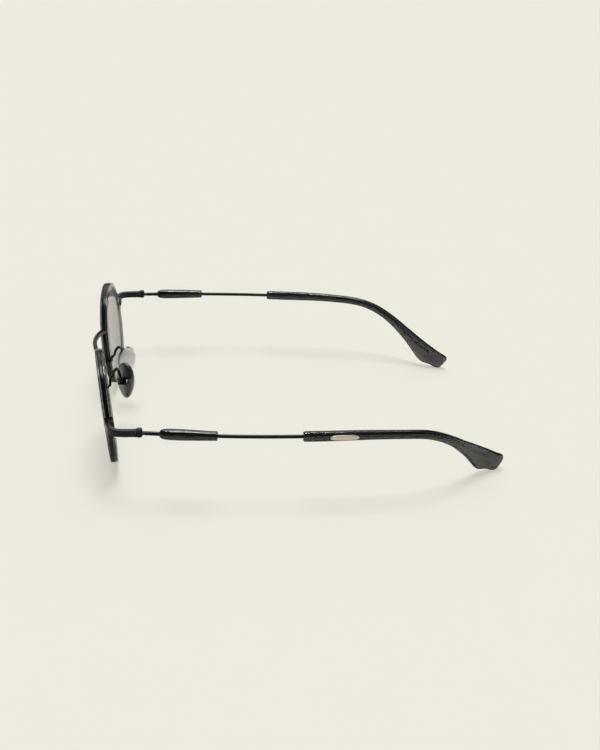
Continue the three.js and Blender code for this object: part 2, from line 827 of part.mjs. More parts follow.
// U-shaped box that holds the stem's eye between its two walls
function padBox() {
  const middle = vector(0, 0, 0);
  const slot = block(
    vector(-boxHeight, boxWall - boxLength / 2, boxPocket),
    vector(boxHeight, boxLength / 2 - boxWall, boxMouth + overrun),
  );
  const window = rod(middle, zUp, boxPocket - boxFloor - overrun, 0, stemRadius + fitClearance);
  const screwHole = rod(middle, yBack, -boxLength, boxLength, padScrewRadius + fitClearance);
  return cut(boxBlank(0), slot, window, screwHole).applyMatrix4(boxFrame);
}

function padScrew() {
  const eyeCentre = inPad(0, 0, screwDepth);
  const rear = boxLength / 2 + fitClearance;
  return slottedScrew(
    eyeCentre,
    padS,
    -boxLength / 2,
    rear + padScrewHeadHeight / 2,
    rear,
    rear + padScrewHeadHeight,
    padScrewRadius,
    padScrewHeadRadius,
  );
}

// The arm's leg behind the rim: shares of its length up from the foot and of its depth behind the eyewire
const padArmLegShares = [[0, -0.25], [0, 0.6], [0.15, 0.94]];

// Goose-neck of the arm: shares of its sway across, of its reach back and of its rise, from its foot
const padArmRouteShares = [
  [-0.765, 0.423, 0.427],
  [-0.75, 0.582, 0.608],
  [-0.86, 0.678, 0.923],
  [-0.69, 0.849, 1.12],
  [0.5, 1.089, 0.76],
  [0.3, 1.018, 0.452],
];

// Arm from the nose side of the eyewire, back round the rim's edge, up, over and down to the pad's box
function padArm() {
  const stand = wireOuterRadius + fitClearance + padArmRadius;
  const legDepth = rimHalfDepth + fitClearance + padArmRadius;
  const leg = padArmLegShares.map(([up, depth]) => {
    const turn = Math.asin(padArmLegLength * (1 - up) / stand);
    return vector(-stand * Math.cos(turn), legDepth * depth, -stand * Math.sin(turn)).applyMatrix4(rimFrame);
  });
  const foot = leg[0];
  const end = inPad(-boxLength / 4, 0, screwDepth + boxPocket - boxFloor);
  const neck = padArmRouteShares.map(([across, back, up]) => vector(
    foot.x + padArmSway * across,
    foot.y + (end.y - foot.y) * back,
    foot.z + padArmRise * up,
  ));
  const curve = new THREE.CatmullRomCurve3([...leg, ...neck, end]);
  const wire = loft(carried(curve, evenShares(0, 1, armSteps), () => round(padArmRadius), xOut));
  return cut(wire, boxBlank(fitClearance).applyMatrix4(boxFrame), rimDisc());
}

// Assembly
const group = new THREE.Group();

function addMesh(name, geometry, finish) {
  const mesh = new THREE.Mesh(geometry, new THREE.MeshStandardMaterial(finish));
  mesh.name = name;
  group.add(mesh);
}

const pairedPieces = [
  ['rim_ring', rimRing(), smokeAcetate],
  ['eyewire', eyewire(), blackMetal],
  ['lens', lens(), lensGlass],
  ['endpiece', endpiece(), blackMetal],
  ['rim_lock', rimLock(), blackMetal],
  ['lock_screw', lockScrew(), blackMetal],
  ['hinge_screw', hingeScrew(), blackMetal],
  ['temple_wire', templeWire(), blackMetal],
  ['sleeve', sleeve(), smokeAcetate],
  ['pad_arm', padArm(), blackMetal],
  ['pad_box', padBox(), blackMetal],
  ['pad_screw', padScrew(), brightSteel],
  ['pad_plate', padPlate(), blackMetal],
  ['pad_stem', padStem(), brightSteel],
  ['nose_pad', nosePad(), padSilicone],
  ['tip', tip(), smokeAcetate],
  ['plaque', plaque(), satinSilver],
];
for (const [name, geometry, finish] of pairedPieces) {
  addMesh(`left_${name}`, geometry, finish);
  addMesh(`right_${name}`, mirrored(geometry), finish);
}
addMesh('bridge', bridge(), blackMetal);

// The origin lies under the middle of the whole, on the table
const bounds = new THREE.Box3().setFromObject(group);
group.position.y = -(bounds.min.y + bounds.max.y) / 2;

export default group;
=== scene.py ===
import math

import bmesh
import bpy
import numpy as np
from mathutils import Matrix, Vector


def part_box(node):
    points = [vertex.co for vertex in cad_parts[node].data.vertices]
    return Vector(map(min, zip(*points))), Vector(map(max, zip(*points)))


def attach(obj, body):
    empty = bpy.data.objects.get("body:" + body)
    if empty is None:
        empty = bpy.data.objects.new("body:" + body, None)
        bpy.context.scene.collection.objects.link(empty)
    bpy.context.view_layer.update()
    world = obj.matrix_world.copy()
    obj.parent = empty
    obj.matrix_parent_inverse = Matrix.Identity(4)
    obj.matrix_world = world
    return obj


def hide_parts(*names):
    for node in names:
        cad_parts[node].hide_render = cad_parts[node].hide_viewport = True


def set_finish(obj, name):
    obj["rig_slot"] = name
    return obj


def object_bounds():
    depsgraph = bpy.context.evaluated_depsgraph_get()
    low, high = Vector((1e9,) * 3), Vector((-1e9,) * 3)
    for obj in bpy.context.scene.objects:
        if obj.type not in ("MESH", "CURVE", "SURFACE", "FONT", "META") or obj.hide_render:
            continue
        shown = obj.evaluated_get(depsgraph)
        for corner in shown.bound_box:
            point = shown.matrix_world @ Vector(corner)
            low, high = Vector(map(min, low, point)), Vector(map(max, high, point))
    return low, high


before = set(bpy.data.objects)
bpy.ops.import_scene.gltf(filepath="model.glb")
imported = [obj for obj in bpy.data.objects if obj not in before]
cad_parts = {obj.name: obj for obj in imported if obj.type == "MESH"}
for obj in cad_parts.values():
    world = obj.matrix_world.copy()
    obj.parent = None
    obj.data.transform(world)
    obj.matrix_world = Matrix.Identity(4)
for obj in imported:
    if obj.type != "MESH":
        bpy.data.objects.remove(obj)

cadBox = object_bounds()
print("stage: frame loaded")

# Lengths below are millimetres, with Y measured from the hinge screws' axis.
screwLow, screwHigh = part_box("left_hinge_screw")
hingeY = (screwLow.y + screwHigh.y) / 2 * 1000
zUp = np.array([0.0, 0.0, 1.0])
fitGap = 0.1  # pieces that are fitted together keep this gap
offAxis = {"pin": 0.004, "disc": 0.01}  # lathed profiles stay this far off their axis


def toMetres(points):
    return (np.asarray(points, float) + [0, hingeY, 0]) / 1000


# Every shape is a pair of vertices and faces, in millimetres.
def gridFaces(rows, columns, closedRows=False):
    # quads between neighbouring rows; the columns always close on themselves
    row = np.arange(rows if closedRows else rows - 1)[:, None]
    column = np.arange(columns)[None, :]
    here, below, beside = row * columns, (row + 1) % rows * columns, (column + 1) % columns
    quads = np.stack([here + column, here + beside, below + beside, below + column], -1)
    return quads.reshape(-1, 4).tolist()


def skin(rings, closedRows=False):
    # rings is (rows, columns, 3); open ends get one flat face each
    rows, columns = rings.shape[:2]
    faces = gridFaces(rows, columns, closedRows)
    if not closedRows:
        faces.append(list(range(columns))[::-1])
        faces.append(list(range((rows - 1) * columns, rows * columns)))
    return outward(rings.reshape(-1, 3), faces)


def outward(vertices, faces):
    # six times the volume with its sign, from fans round each face's first corner,
    # is below zero where the shape is inside out
    corners = np.asarray(vertices, float)
    total = 0.0
    for size in {len(f) for f in faces}:
        group = np.array([f for f in faces if len(f) == size])
        for k in range(1, size - 1):
            a, b, c = corners[group[:, 0]], corners[group[:, k]], corners[group[:, k + 1]]
            total += np.einsum("ij,ij->i", a, np.cross(b, c)).sum()
    if total < 0:
        faces = [f[::-1] for f in faces]
    return corners, faces


def merged(*shapes):
    vertices, faces, start = [], [], 0
    for points, quads in shapes:
        vertices.append(points)
        faces += [[k + start for k in f] for f in quads]
        start += len(points)
    return np.concatenate(vertices), faces


def mirrored(shape):
    return outward(shape[0] * [-1, 1, 1], shape[1])


def rounded(corners, radius, steps=5):
    # a closed outline with every corner replaced by an arc tangent to both its sides
    corners = np.asarray(corners, float)
    out = []
    for k, here in enumerate(corners):
        size = radius[k] if hasattr(radius, "__len__") else radius
        if size <= 0:
            out.append(here)
            continue
        before, after = corners[k - 1] - here, corners[(k + 1) % len(corners)] - here
        before, after = before / np.linalg.norm(before), after / np.linalg.norm(after)
        half = math.acos(np.clip(before @ after, -1, 1)) / 2
        middle = (before + after) / np.linalg.norm(before + after)
        centre = here + middle * size / math.sin(half)
        first, last = here + before * size / math.tan(half), here + after * size / math.tan(half)
        for t in np.linspace(0, 1, steps + 1):
            spoke = (first - centre) * (1 - t) + (last - centre) * t
            out.append(centre + spoke / np.linalg.norm(spoke) * size)
    return np.array(out)


def lathe(profile, centre=(0, 0, 0), axis=zUp, sides=64):
    # a closed profile of (radius, distance along the axis), turned fully round the axis
    axis = np.asarray(axis, float) / np.linalg.norm(axis)
    first = np.cross(axis, [1.0, 0, 0] if abs(axis[0]) < 0.9 else [0, 1.0, 0])
    first /= np.linalg.norm(first)
    second = np.cross(axis, first)
    turn = np.linspace(0, 2 * np.pi, sides, endpoint=False)[:, None]
    spokes = np.cos(turn) * first + np.sin(turn) * second
    profile = np.asarray(profile, float)
    rings = profile[None, :, :1] * spokes[:, None] + profile[None, :, 1:] * axis + centre
    return skin(rings, closedRows=True)


def pin(radius, start, end, edge=0.1, bore=0.0, **place):
    # a round pin, or a ring where bore is over 0, with rounded edges
    inner = max(bore, offAxis["pin"])
    corners = [[inner, start], [radius, start], [radius, end], [inner, end]]
    return lathe(rounded(corners, [0, edge, edge, 0]), **place)


class Path:
    # centripetal Catmull-Rom through the points, read by shares of its length
    def __init__(self, points, perSpan=80):
        points = np.asarray(points, float)
        points = np.vstack([2 * points[0] - points[1], points, 2 * points[-1] - points[-2]])
        t = np.linspace(0, 1, perSpan, endpoint=False)[:, None]
        place = []
        for k in range(1, len(points) - 2):
            a, b, c, d = points[k - 1:k + 3]
            ab, bc, cd = (np.linalg.norm(q - p) ** 0.5 for p, q in ((a, b), (b, c), (c, d)))
            start = ((b - a) / ab - (c - a) / (ab + bc) + (c - b) / bc) * bc
            end = ((c - b) / bc - (d - b) / (bc + cd) + (d - c) / cd) * bc
            square, cube = 3 * (c - b) - 2 * start - end, 2 * (b - c) + start + end
            place.append(b + start * t + square * t ** 2 + cube * t ** 3)
        self.place = np.vstack([*place, points[-2]])
        steps = np.linalg.norm(np.diff(self.place, axis=0), axis=1)
        self.length = steps.sum()
        self.share = np.concatenate([[0], np.cumsum(steps)]) / self.length

    def at(self, shares, near=0.6):
        # places, and the direction between the points a little before and after each
        shares = np.atleast_1d(shares)
        read = lambda s: np.stack([np.interp(s, self.share, part) for part in self.place.T], -1)
        near = near / self.length
        along = read(np.minimum(shares + near, 1)) - read(np.maximum(shares - near, 0))
        return read(shares), along / np.linalg.norm(along, axis=1, keepdims=True)

    def frames(self, shares, side=zUp):
        # the place, the direction along, and the two across it, square to each other
        centre, along = self.at(shares)
        across = np.cross(along, side)
        across /= np.linalg.norm(across, axis=1, keepdims=True)
        return centre, along, across, np.cross(across, along)

    def shareAtY(self, y):
        return float(np.interp(y, self.place[:, 1], self.share))


def oval(halfAcross, above, below, power, sides):
    # superellipse sections, one row per station, with their own reach above and below
    turn = np.linspace(0, 2 * np.pi, sides, endpoint=False)[None, :]
    column = lambda v: np.atleast_1d(np.asarray(v, float))[:, None]
    bend = 2 / column(power)
    soft = lambda v: np.sign(v) * np.abs(v) ** bend
    reach = np.where(np.sin(turn) < 0, column(below), column(above))
    wide, tall = column(halfAcross) * soft(np.cos(turn)), reach * soft(np.sin(turn))
    return np.stack(np.broadcast_arrays(wide, tall), -1)


def carried(path, shares, sections, side=zUp):
    # each section's first value goes across the path and its second one up
    centre, _, across, rise = path.frames(shares, side)
    return centre[:, None] + across[:, None] * sections[..., :1] + rise[:, None] * sections[..., 1:]


def tube(path, shares, radius, side, sides=24):
    # a round tube; each end closes as a low dome, in ever smaller rings further out
    dome, lift = np.array([0.35, 0.7, 0.9]), radius * 0.3
    rings = carried(path, shares, oval(radius, radius, radius, 2.0, sides), side)
    centre, along = path.at(np.array([shares[0], shares[-1]]))
    first = [
        centre[0] + (rings[0] - centre[0]) * d - along[0] * lift * (1 - d ** 2) ** 0.5
        for d in dome
    ]
    last = [
        centre[1] + (rings[-1] - centre[1]) * d + along[1] * lift * (1 - d ** 2) ** 0.5
        for d in dome[::-1]
    ]
    return skin(np.concatenate([first, rings, last]))


def block(lowCorner, highCorner, radius=0.15, steps=3):
    # a box with all its edges rounded
    mesh = bmesh.new()
    bmesh.ops.create_cube(mesh, size=1)
    size = np.subtract(highCorner, lowCorner)
    middle = np.add(highCorner, lowCorner) / 2
    for vertex in mesh.verts:
        vertex.co = Vector(np.array(vertex.co) * size + middle)
    if radius > 0:
        bmesh.ops.bevel(
            mesh, geom=mesh.edges[:], offset=radius, segments=steps, profile=0.5, affect="EDGES",
        )
    mesh.verts.index_update()
    vertices = np.array([v.co[:] for v in mesh.verts])
    faces = [[v.index for v in f.verts] for f in mesh.faces]
    mesh.free()
    return outward(vertices, faces)


def moved(shape, matrix):
    # a shape after a 3x3 turn and a shift, given together
    turn, shift = matrix
    return shape[0] @ np.asarray(turn).T + shift, shape[1]


def meshFrom(name, shape):
    mesh = bpy.data.meshes.new(name)
    mesh.from_pydata(toMetres(shape[0]).tolist(), [], shape[1])
    mesh.validate()
    return mesh


def applied(piece):
    # the piece's modifiers made final
    bpy.context.view_layer.update()
    final = piece.evaluated_get(bpy.context.evaluated_depsgraph_get())
    mesh = bpy.data.meshes.new_from_object(final)
    piece.modifiers.clear()
    piece.data = mesh


def loose(name, shape):
    piece = bpy.data.objects.new(name, meshFrom(name, shape))
    bpy.context.scene.collection.objects.link(piece)
    return piece


def fused(piece, voxel, smooth=6):
    # overlapping shells melted into one skin, then eased so that joints read as soldered
    remesh = piece.modifiers.new("melt", "REMESH")
    remesh.mode = "VOXEL"
    remesh.voxel_size = voxel / 1000
    ease = piece.modifiers.new("ease", "SMOOTH")
    ease.factor = 0.5
    ease.iterations = smooth
    applied(piece)


def cutBy(piece, *shapes):
    for shape in shapes:
        tool = loose("tool", shape)
        cut = piece.modifiers.new("cut", "BOOLEAN")
        cut.operation = "DIFFERENCE"
        cut.solver = "EXACT"
        cut.object = tool
        applied(piece)
        bpy.data.objects.remove(tool)


def dressed(piece, body, node, material, slotName, sharp=35):
    # material, smooth shading but for the sharp edges, and the node that the piece stands for
    piece.data.materials.clear()
    piece.data.materials.append(material)
    piece.data.polygons.foreach_set("use_smooth", [True] * len(piece.data.polygons))
    piece.data.set_sharp_from_angle(angle=math.radians(sharp))
    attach(piece, body)
    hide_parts(node)
    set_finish(piece, slotName)


def pair(name, shape, material, slotName, bodies=("front", "front"), sharp=35, voxel=None, cuts=()):
    # the left piece as built and the right one as its mirror image
    for side, body in zip(("left", "right"), bodies):
        flip = mirrored if side == "right" else (lambda s: s)
        piece = loose(f"{side}_{name}_look", flip(shape))
        if voxel:
            fused(piece, voxel)
        cutBy(piece, *[flip(cut) for cut in cuts])
        dressed(piece, body, f"{side}_{name}", material, slotName, sharp)


# Patterns follow Object coordinates, in metres.
def newMaterial(name):
    material = bpy.data.materials.new(name)
    material.use_nodes = True
    nodes = material.node_tree.nodes
    return material, nodes, material.node_tree.links, nodes["Principled BSDF"]


def mottle(nodes, links, scale, stretch=(1, 1, 1), detail=4.0):
    # a noise value over the object, stretched by the mapping
    place = nodes.new("ShaderNodeTexCoord")
    mapping = nodes.new("ShaderNodeMapping")
    noise = nodes.new("ShaderNodeTexNoise")
    mapping.inputs["Scale"].default_value = stretch
    noise.inputs["Scale"].default_value = scale
    noise.inputs["Detail"].default_value = detail
    links.new(place.outputs["Object"], mapping.inputs["Vector"])
    links.new(mapping.outputs["Vector"], noise.inputs["Vector"])
    return noise.outputs["Fac"]


def spread(nodes, links, value, lowEnd, highEnd):
    # the noise, which lies mostly between 0.3 and 0.7, spread over a range
    ramp = nodes.new("ShaderNodeMapRange")
    ramp.inputs["From Min"].default_value = 0.3
    ramp.inputs["From Max"].default_value = 0.7
    ramp.inputs["To Min"].default_value = lowEnd
    ramp.inputs["To Max"].default_value = highEnd
    links.new(value, ramp.inputs["Value"])
    return ramp.outputs["Result"]


def tinted(nodes, links, value, darker, lighter):
    mix = nodes.new("ShaderNodeMix")
    mix.data_type = "RGBA"
    mix.inputs["A"].default_value = (*darker, 1)
    mix.inputs["B"].default_value = (*lighter, 1)
    links.new(value, mix.inputs["Factor"])
    return mix.outputs["Result"]


def bumped(nodes, links, value, shader, height):
    bump = nodes.new("ShaderNodeBump")
    bump.inputs["Strength"].default_value = 1
    bump.inputs["Distance"].default_value = height
    links.new(value, bump.inputs["Height"])
    links.new(bump.outputs["Normal"], shader.inputs["Normal"])


def varied(nodes, links, shader, finish):
    # colour and roughness follow one noise value
    value = mottle(nodes, links, **finish["grain"])
    colour = tinted(nodes, links, value, finish["low"], finish["high"])
    links.new(colour, shader.inputs["Base Color"])
    links.new(spread(nodes, links, value, *finish["rough"]), shader.inputs["Roughness"])
    return value


enamel = {
    "low": (0.0025, 0.0025, 0.003), "high": (0.005, 0.005, 0.0055), "rough": (0.12, 0.22),
    "grain": {"scale": 900}, "dimples": {"scale": 2500}, "bump": 0.000004, "index": 1.3,
}


def blackEnamel():
    material, nodes, links, shader = newMaterial("black_metal_look")
    varied(nodes, links, shader, enamel)
    shader.inputs["IOR"].default_value = enamel["index"]
    bumped(nodes, links, mottle(nodes, links, **enamel["dimples"]), shader, enamel["bump"])
    return material


smoke = {
    "low": (0.94, 0.93, 0.945), "high": (0.97, 0.96, 0.97), "rough": (0.01, 0.03), "index": 1.5,
    "grain": {"scale": 160, "stretch": (1, 0.4, 1), "detail": 3},
    "tint": (0.5, 0.48, 0.505), "density": 2400, "rimDensity": 900,
}
glass = {
    "low": (0.95, 0.95, 0.94), "high": (1, 1, 1), "rough": (0.0, 0.008), "index": 1.5,
    "grain": {"scale": 60, "detail": 2}, "tint": (0.57, 0.55, 0.58), "density": 1000,
}


def clearBody(name, finish, density):
    # light fades by density times (1 - tint) for each metre inside the body
    material, nodes, links, shader = newMaterial(name)
    varied(nodes, links, shader, finish)
    shader.inputs["Transmission Weight"].default_value = 1
    shader.inputs["IOR"].default_value = finish["index"]
    absorb = nodes.new("ShaderNodeVolumeAbsorption")
    absorb.inputs["Color"].default_value = (*finish["tint"], 1)
    absorb.inputs["Density"].default_value = density
    links.new(absorb.outputs["Volume"], nodes["Material Output"].inputs["Volume"])
    return material


silicone = {
    "low": (0.95, 0.95, 0.96), "high": (0.99, 0.99, 1.0), "rough": (0.2, 0.32), "index": 1.41,
    "grain": {"scale": 350, "detail": 3}, "clear": 0.05,
    "soft": 0.85, "softRadius": (1.0, 0.95, 0.9), "softScale": 0.002,
}


def padSilicone():
    material, nodes, links, shader = newMaterial("pad_silicone_look")
    varied(nodes, links, shader, silicone)
    shader.inputs["Transmission Weight"].default_value = silicone["clear"]
    shader.inputs["IOR"].default_value = silicone["index"]
    shader.inputs["Subsurface Weight"].default_value = silicone["soft"]
    shader.inputs["Subsurface Radius"].default_value = silicone["softRadius"]
    shader.inputs["Subsurface Scale"].default_value = silicone["softScale"]
    return material


steelFinish = {
    "low": (0.62, 0.61, 0.58), "high": (0.76, 0.75, 0.72), "rough": (0.2, 0.34),
    "grain": {"scale": 1500, "detail": 6}, "bump": 0.000006,
}
silverFinish = {
    "low": (0.53, 0.49, 0.42), "high": (0.65, 0.6, 0.52), "rough": (0.28, 0.42),
    "grain": {"scale": 1500, "stretch": (8, 0.15, 8), "detail": 6}, "bump": 0.000006,
}
plateFinish = {
    "low": (0.19, 0.186, 0.196), "high": (0.23, 0.226, 0.236), "rough": (0.26, 0.34),
    "grain": {"scale": 1200}, "bump": 0.000003,
}


def metal(name, finish):
    # fine noise, which reads as brushing where the finish stretches it
    material, nodes, links, shader = newMaterial(name)
    grain = varied(nodes, links, shader, finish)
    shader.inputs["Metallic"].default_value = 1
    bumped(nodes, links, grain, shader, finish["bump"])
    return material


blackMetal = blackEnamel()
acetate = clearBody("smoke_acetate_look", smoke, smoke["density"])
rimAcetate = clearBody("rim_acetate_look", smoke, smoke["rimDensity"])
lensLook = clearBody("lens_glass_look", glass, glass["density"])
padLook = padSilicone()
plateMetal = metal("plate_look", plateFinish)
steel = metal("bright_steel_look", steelFinish)
silver = metal("satin_silver_look", silverFinish)
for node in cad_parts.values():
    node.data.materials.clear()
    node.data.materials.append(steel if "stem" in node.name else blackMetal)
print("stage: materials")

# The front: rims, lenses, bridge, endpieces and locks.

rim = {
    "spacing": 63.7, "radius": 20.4, "depth": 2.8, "wall": 2.1, "edge": 0.35,
    "tilt": 7.0, "wrap": 4.9, "setback": 11.7, "bevelDepth": 0.8, "bevelHalf": 0.55,
}
groove = {
    "width": 1.6, "depth": 0.7, "gap": 0.1, "proud": 0.05, "edge": 0.3, "lip": 0.06, "crease": 0.05,
}
tilt, wrap = math.radians(rim["tilt"]), math.radians(rim["wrap"])
halfDepth = rim["depth"] / 2
rimCentre = np.array([
    rim["spacing"] / 2,
    -rim["setback"],
    rim["radius"] * math.cos(tilt) + (halfDepth - rim["edge"]) * math.sin(tilt),
])
turnX = np.array([
    [1, 0, 0], [0, math.cos(tilt), -math.sin(tilt)], [0, math.sin(tilt), math.cos(tilt)],
])
turnZ = np.array([
    [math.cos(wrap), -math.sin(wrap), 0], [math.sin(wrap), math.cos(wrap), 0], [0, 0, 1],
])
rimPlace = (turnX @ turnZ, rimCentre)
wireOuter = rim["radius"] + groove["proud"]


def inRim(points):
    # from the rim's own axes, with its depth along Y, to the frame's
    return np.asarray(points, float) @ rimPlace[0].T + rimPlace[1]


def rimRing():
    # the section between the two grooves, its outer corners rounded, turned round the depth axis
    outer, inner, half = rim["radius"], rim["radius"] - rim["wall"], halfDepth
    floor, wire = outer - groove["depth"], groove["width"] / 2
    bevel, edge, lip, crease = rim["bevelHalf"], rim["edge"], groove["lip"], groove["crease"]
    corners = [
        [outer, -half], [outer, -wire], [floor, -wire], [floor, wire], [outer, wire], [outer, half],
        [inner, half], [inner, bevel], [inner + rim["bevelDepth"], 0], [inner, -bevel],
        [inner, -half],
    ]
    radii = [edge, lip, crease, crease, lip, edge, edge, crease, crease, crease, edge]
    return moved(lathe(rounded(corners, radii, 4), axis=(0, 1, 0), sides=256), rimPlace)


hinge = {
    "outset": 9.05, "rise": 5.25, "knuckle": 1.12, "neck": 0.7, "height": 2.5, "eye": 0.9,
    "gap": 0.08, "bore": 0.63, "edge": 0.14, "bodyEdge": 0.2, "shy": 0.05, "lap": 0.5, "past": 0.1,
}
strap = {"thick": 1.7, "high": 2.2, "bar": 2.45, "lift": 0.25, "corner": 0.25}
root = {"length": 3.0, "depth": 3.3, "back": 0.25, "drop": 0.65, "sunk": 1.2, "edge": 0.25}
lock = {"length": 2.2, "depth": 2.3, "height": 1.3, "gap": 0.2, "edge": 0.22}
lockScrew = {"radius": 0.5, "head": 0.75, "headHeight": 0.35}
hingePlace = np.array([
    rim["spacing"] / 2 + rim["radius"] + hinge["outset"], 0, rimCentre[2] + hinge["rise"],
])
rootBottom = hinge["rise"] - root["drop"] - strap["high"] / 2
rootTop = rootBottom + strap["high"]
lockTop = rootBottom - lock["gap"]


def eyewire():
    # a rounded bar bent round the groove, open at the lock
    start = math.asin(rootBottom / rim["radius"])
    end = math.asin(lockTop / rim["radius"]) + 2 * math.pi
    half = groove["width"] / 2 - groove["gap"]
    inner = rim["radius"] - groove["depth"] + groove["gap"]
    corners = [[inner, -half], [wireOuter, -half], [wireOuter, half], [inner, half]]
    edge, crease = groove["edge"], groove["crease"]
    outline = rounded(corners, [crease, edge, edge, crease], 5)
    turn = np.linspace(start, end, 300)[:, None]
    radius, depth = outline[None, :, 0], outline[None, :, 1]
    rings = np.broadcast_arrays(radius * np.cos(turn), depth, radius * np.sin(turn))
    return moved(skin(np.stack(rings, -1)), rimPlace)


lens = {"thick": 1.8, "curve": 130.0, "bevelDepth": 0.8, "bevelWidth": 1.1}


def lensShape():
    # two spheres of one radius, the lens's thickness apart, and a bevelled edge
    inner = rim["radius"] - rim["wall"] - groove["gap"]
    sag = lambda r: lens["curve"] - np.sqrt(lens["curve"] ** 2 - r ** 2)
    radii = np.concatenate([[offAxis["disc"]], np.linspace(0.6, inner, 40)])
    front = sag(radii) - sag(inner) - lens["thick"] / 2
    bevel = lens["bevelWidth"] / 2
    edge = [[inner, -bevel], [inner + lens["bevelDepth"], 0], [inner, bevel]]
    back = np.stack([radii, front + lens["thick"]], -1)[::-1]
    profile = np.concatenate([np.stack([radii, front], -1), edge, back])
    return moved(lathe(profile, axis=(0, 1, 0), sides=192), rimPlace)


def rimDisc(deep=4):
    # cuts the eyewire's neighbours: a disc with its outline and a gap, deeper than any of them
    radius, inner = wireOuter + groove["gap"], offAxis["disc"]
    profile = [[inner, -deep], [radius, -deep], [radius, deep], [inner, deep]]
    return moved(lathe(profile, axis=(0, 1, 0), sides=360), rimPlace)


pair("rim_ring", rimRing(), rimAcetate, "smoke_acetate")
pair("eyewire", eyewire(), blackMetal, "black_metal")
pair("lens", lensShape(), lensLook, "lens_glass")
print("stage: rims and lenses")

# The bridge's rows are shares of the foot's X, of the reach forwards and of the rise.
bow = {
    "turn": 154, "back": 0.5, "reach": 3.3, "rise": 1.5, "deep": 1.6, "high": 2.1, "power": 2.2,
    "shares": [[1, 0, 0], [0.78, 0.42, 0.4], [0.42, 0.81, 0.8]],
}


def bridge():
    # a superellipse carried along a bow from eyewire to eyewire, the same on both sides
    turn, deep, high = math.radians(bow["turn"]), bow["deep"] / 2, bow["high"] / 2
    foot = inRim([rim["radius"] * math.cos(turn), bow["back"], rim["radius"] * math.sin(turn)])
    half = [
        [foot[0] * a, foot[1] - bow["reach"] * f, foot[2] + bow["rise"] * u]
        for a, f, u in bow["shares"]
    ]
    crown = [0, foot[1] - bow["reach"], foot[2] + bow["rise"]]
    path = Path(half + [crown] + [[-x, y, z] for x, y, z in half[::-1]])
    rings = carried(path, np.linspace(0, 1, 160), oval(deep, high, high, bow["power"], 40))
    piece = loose("bridge_look", skin(rings))
    cutBy(piece, rimDisc(), mirrored(rimDisc()))
    dressed(piece, "front", "bridge", blackMetal, "black_metal")


bridge()

# Shares of the way from the root to the hinge, in X and in both Y and Z.
strapShares = [[0, 0], [0.38, 0.06], [0.7, 0.15], [0.91, 0.32], [0.98, 0.58], [1, 1]]


def endpiece():
    # root block, strap round the corner, and a fork of two cheeks, melted together
    back, deep = root["back"], root["depth"]
    width, height = strap["thick"] / 2, strap["bar"] / 2
    base = moved(block(
        [rim["radius"] - root["sunk"], back - deep / 2, rootBottom],
        [wireOuter + root["length"], back + deep / 2, rootTop],
        root["edge"],
    ), rimPlace)
    start = inRim([
        wireOuter + width, back - deep / 2 + width, hinge["rise"] - root["drop"] + strap["lift"],
    ])
    reach = hingePlace + [0, -hinge["knuckle"] - hinge["neck"] / 2, 0] - start
    path = Path([start + reach * [a, b, b] for a, b in strapShares])
    corners = [[-width, -height], [width, -height], [width, height], [-width, height]]
    outline = rounded(corners, strap["corner"], 4)
    bar = skin(carried(path, np.linspace(0, 1, 60), outline[None]))
    half, slot, knuckle = hinge["height"] / 2, hinge["eye"] / 2 + hinge["gap"], hinge["knuckle"]
    x, y, z = hingePlace
    solid = block(
        [x - width, y - knuckle - hinge["neck"], z - height],
        [x + width, y - knuckle - hinge["shy"], z + height],
        hinge["bodyEdge"],
    )
    cheeks = [
        merged(
            pin(knuckle, a, b, hinge["edge"], centre=hingePlace),
            block(
                [x - width, y - knuckle - hinge["lap"], z + a],
                [x + width, y + hinge["past"], z + b],
                hinge["edge"],
            ),
        )
        for a, b in ((slot, half), (-half, -slot))
    ]
    return merged(base, bar, solid, *cheeks)


# The holes' cutters run well past what they cut.
lockPlace = np.array([wireOuter + lock["length"] / 2 - lockScrew["head"] / 2, root["back"], 0])
lockHole = moved(
    pin(lockScrew["radius"] + fitGap, lockTop - 3, rootTop + 1, 0, centre=lockPlace, sides=40),
    rimPlace,
)
hingeHole = pin(hinge["bore"], -2, 2, 0, centre=hingePlace, sides=48)
pair(
    "endpiece", endpiece(), blackMetal, "black_metal", voxel=0.07,
    cuts=[rimDisc(), lockHole, hingeHole],
)

lockBlock = moved(block(
    [rim["radius"] - root["sunk"], root["back"] - lock["depth"] / 2, lockTop - lock["height"]],
    [wireOuter + lock["length"], root["back"] + lock["depth"] / 2, lockTop],
    lock["edge"], 4,
), rimPlace)
pair("rim_lock", lockBlock, blackMetal, "black_metal", cuts=[rimDisc(), lockHole])

screwWork = {"edge": 0.06, "headEdge": 0.05, "inHead": 0.1, "slotHalf": 0.14, "slotDepth": 0.2}


def slottedScrew(centre, axis, end, seat, screw):
    # a shank from its end to just past the seat, a domed head on the seat, and the slot's cutter
    axis = np.asarray(axis, float)
    out, inner = (1 if seat > end else -1), offAxis["pin"]
    shank, top = seat + out * screwWork["inHead"], seat + out * screw["headHeight"]
    place = {"centre": centre, "axis": axis}
    bolt = pin(screw["radius"], *sorted([end, shank]), screwWork["edge"], sides=40, **place)
    corners = [[inner, seat], [screw["head"], seat], [screw["head"], top], [inner, top]]
    cap = rounded(corners, [0, screwWork["headEdge"], abs(top - seat) * 0.5, 0])
    first = np.cross(axis, [0, 0, 1.0] if abs(axis[2]) < 0.9 else [1.0, 0, 0])
    first /= np.linalg.norm(first)
    turn = np.stack([first, np.cross(axis, first), axis], -1)
    half, deep, long = screwWork["slotHalf"], screwWork["slotDepth"], screw["head"] * 2
    slot = moved(block([-half, -long, -deep], [half, long, deep], 0), (turn, centre + axis * top))
    return merged(bolt, lathe(cap, sides=56, **place)), slot


